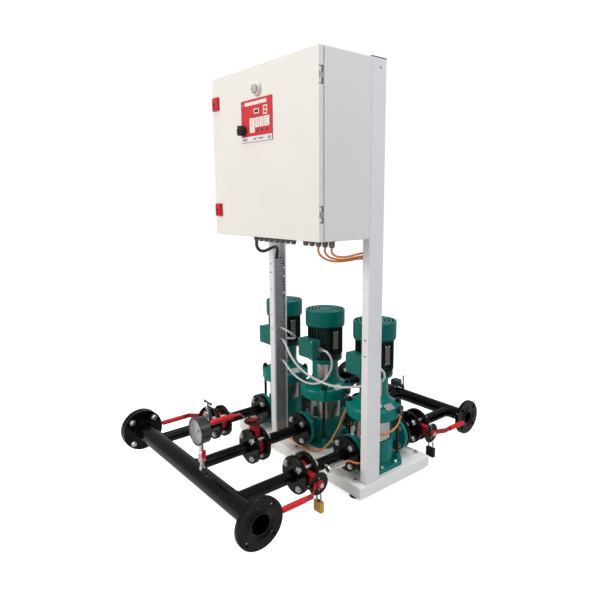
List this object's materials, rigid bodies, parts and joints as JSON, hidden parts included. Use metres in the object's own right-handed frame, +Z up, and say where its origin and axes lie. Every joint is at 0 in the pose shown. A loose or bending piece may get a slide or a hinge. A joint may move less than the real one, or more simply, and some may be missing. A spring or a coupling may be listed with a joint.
{
  "type": "fire pump set",
  "caption": "Upright pumps side by side on a base between a discharge and a suction header, with lever valves and a control cabinet on two columns.",
  "frame": {"origin": "on the floor, at the middle of the whole set's bounding box", "axes": "+Z up, -Y towards the cabinet door and the discharge header, +X towards the open header ends"},
  "size_m": [1.012, 1.45, 1.72],
  "materials": {
    "base_plate": "light grey powder coat, fine texture",
    "rubber": "matt black rubber",
    "column_sheet": "light grey powder coat",
    "cabinet_sheet": "light grey textured powder coat",
    "duct_plastic": "matt grey trunking",
    "zinc_bolt": "zinc plated",
    "plate_zinc": "galvanised sheet",
    "device_plastic": "moulded grey switchgear",
    "red_panel": "gloss red front plate",
    "red_lock": "red moulded lock case",
    "black_plastic": "satin black moulding",
    "gland_plastic": "grey gland",
    "lamp_lens": "translucent lamp lens",
    "black_pipe": "black epoxy on steel pipe",
    "valve_red": "red enamel on cast iron",
    "disc_steel": "stainless disc and stem",
    "brass": "worn brass",
    "pump_green": "teal green cataphoresis paint on iron",
    "barrel_steel": "drawn stainless sleeve",
    "rod_black": "blackened steel",
    "motor_paint": "teal paint on die cast aluminium",
    "cowl_paint": "teal paint on pressed steel",
    "rotor_steel": "machined steel",
    "gauge_case": "black gauge case",
    "nickel": "nickel plated brass",
    "needle_black": "matt black needle",
    "cable_sheath": "matt sheath",
    "cable_orange": "orange fire resistant sheath"
  },
  "bodies": {
    "frame": {"base_frame": "base_plate", "base_feet": "rubber", "column_left": "column_sheet", "column_right": "column_sheet", "cable_ducts": "duct_plastic", "frame_fixings": "zinc_bolt", "cabinet_body": "cabinet_sheet", "mounting_plate": "plate_zinc", "cabinet_devices": "device_plastic", "door_hinges": "zinc_bolt", "cable_glands": "gland_plastic", "front_header": "black_pipe", "rear_header": "black_pipe", "blind_flanges": "black_pipe", "flange_bolts": "zinc_bolt", "port_spools": "black_pipe", "valve_bodies": "valve_red", "padlocks": "brass", "pump_casings": "pump_green", "pump_barrels": "barrel_steel", "pump_heads": "pump_green", "tie_rods": "rod_black", "fan_cowls": "cowl_paint", "terminal_boxes": "cowl_paint", "pressure_gauge": "gauge_case", "instruments": "nickel", "power_cables": "cable_sheath", "sensor_cables": "cable_orange", "motor_1": "motor_paint", "motor_2": "motor_paint", "motor_3": "motor_paint"},
    "door": {"cabinet_door": "cabinet_sheet", "door_gasket": "rubber", "control_panel": "red_panel", "signal_lamp": "lamp_lens", "lock_cases": "red_lock"},
    "upper_lock": {"door_lock_upper": "black_plastic"},
    "lower_lock": {"door_lock_lower": "black_plastic"},
    "main_switch": {"main_switch": "black_plastic"},
    "gauge_needle": {"gauge_needle": "needle_black"},
    "gauge_cock": {"gauge_cock": "valve_red"},
    "vent_handle": {"vent_handle": "nickel"},
    "button_1": {"panel_button_1": "black_plastic"},
    "button_2": {"panel_button_2": "black_plastic"},
    "button_3": {"panel_button_3": "black_plastic"},
    "valve_1": {"valve_disc_1": "disc_steel", "valve_lever_1": "valve_red"},
    "valve_2": {"valve_disc_2": "disc_steel", "valve_lever_2": "valve_red"},
    "valve_3": {"valve_disc_3": "disc_steel", "valve_lever_3": "valve_red"},
    "valve_4": {"valve_disc_4": "disc_steel", "valve_lever_4": "valve_red"},
    "valve_5": {"valve_disc_5": "disc_steel", "valve_lever_5": "valve_red"},
    "valve_6": {"valve_disc_6": "disc_steel", "valve_lever_6": "valve_red"},
    "rotor_1": {"rotor_1": "rotor_steel"},
    "rotor_2": {"rotor_2": "rotor_steel"},
    "rotor_3": {"rotor_3": "rotor_steel"}
  },
  "joints": [
    {"name": "door_hinge", "type": "hinge", "parent": "frame", "child": "door", "pos_m": [0.449, -0.3225, 1.391], "axis": [0, 0, 1], "range_deg": [0, 115]},
    {"name": "upper_lock_turn", "type": "hinge", "parent": "door", "child": "upper_lock", "pos_m": [-0.211, -0.3305, 1.611], "axis": [0, -1, 0], "range_deg": [0, 90]},
    {"name": "lower_lock_turn", "type": "hinge", "parent": "door", "child": "lower_lock", "pos_m": [-0.211, -0.3305, 1.171], "axis": [0, -1, 0], "range_deg": [0, 90]},
    {"name": "main_switch_turn", "type": "hinge", "parent": "door", "child": "main_switch", "pos_m": [-0.001, -0.3335, 1.482], "axis": [0, 1, 0], "range_deg": [0, 90]},
    {"name": "button_1_press", "type": "slide", "parent": "door", "child": "button_1", "axis": [0, 1, 0], "range_m": [0, 0.003], "stiffness_N_per_m": 300},
    {"name": "button_2_press", "type": "slide", "parent": "door", "child": "button_2", "axis": [0, 1, 0], "range_m": [0, 0.003], "stiffness_N_per_m": 300},
    {"name": "button_3_press", "type": "slide", "parent": "door", "child": "button_3", "axis": [0, 1, 0], "range_m": [0, 0.003], "stiffness_N_per_m": 300},
    {"name": "valve_1_turn", "type": "hinge", "parent": "frame", "child": "valve_1", "pos_m": [-0.315, -0.3195, 0.153], "axis": [-1, 0, 0], "range_deg": [0, 90]},
    {"name": "valve_2_turn", "type": "hinge", "parent": "frame", "child": "valve_2", "pos_m": [0.005, -0.3195, 0.153], "axis": [0, 0, -1], "range_deg": [0, 90]},
    {"name": "valve_3_turn", "type": "hinge", "parent": "frame", "child": "valve_3", "pos_m": [0.325, -0.3195, 0.153], "axis": [-1, 0, 0], "range_deg": [0, 90]},
    {"name": "valve_4_turn", "type": "hinge", "parent": "frame", "child": "valve_4", "pos_m": [-0.315, 0.3615, 0.153], "axis": [1, 0, 0], "range_deg": [0, 90]},
    {"name": "valve_5_turn", "type": "hinge", "parent": "frame", "child": "valve_5", "pos_m": [0.005, 0.3615, 0.153], "axis": [0, 0, -1], "range_deg": [0, 90]},
    {"name": "valve_6_turn", "type": "hinge", "parent": "frame", "child": "valve_6", "pos_m": [0.325, 0.3615, 0.153], "axis": [1, 0, 0], "range_deg": [0, 90]},
    {"name": "rotor_1_spin", "type": "hinge", "parent": "frame", "child": "rotor_1", "pos_m": [-0.315, 0.0915, 0.4], "axis": [0, 0, 1], "continuous": true},
    {"name": "rotor_2_spin", "type": "hinge", "parent": "frame", "child": "rotor_2", "pos_m": [0.005, 0.0915, 0.4], "axis": [0, 0, 1], "continuous": true},
    {"name": "rotor_3_spin", "type": "hinge", "parent": "frame", "child": "rotor_3", "pos_m": [0.325, 0.0915, 0.4], "axis": [0, 0, 1], "continuous": true},
    {"name": "needle_turn", "type": "hinge", "parent": "frame", "child": "gauge_needle", "pos_m": [0.11, -0.6425, 0.348], "axis": [0, 1, 0], "range_deg": [0, 270]},
    {"name": "gauge_cock_turn", "type": "hinge", "parent": "frame", "child": "gauge_cock", "pos_m": [0.13, -0.6325, 0.23705], "axis": [1, 0, 0], "range_deg": [0, 90]},
    {"name": "vent_turn", "type": "hinge", "parent": "frame", "child": "vent_handle", "pos_m": [-0.315, -0.37, 0.24], "axis": [0, 0, 1], "range_deg": [0, 90]}
  ]
}
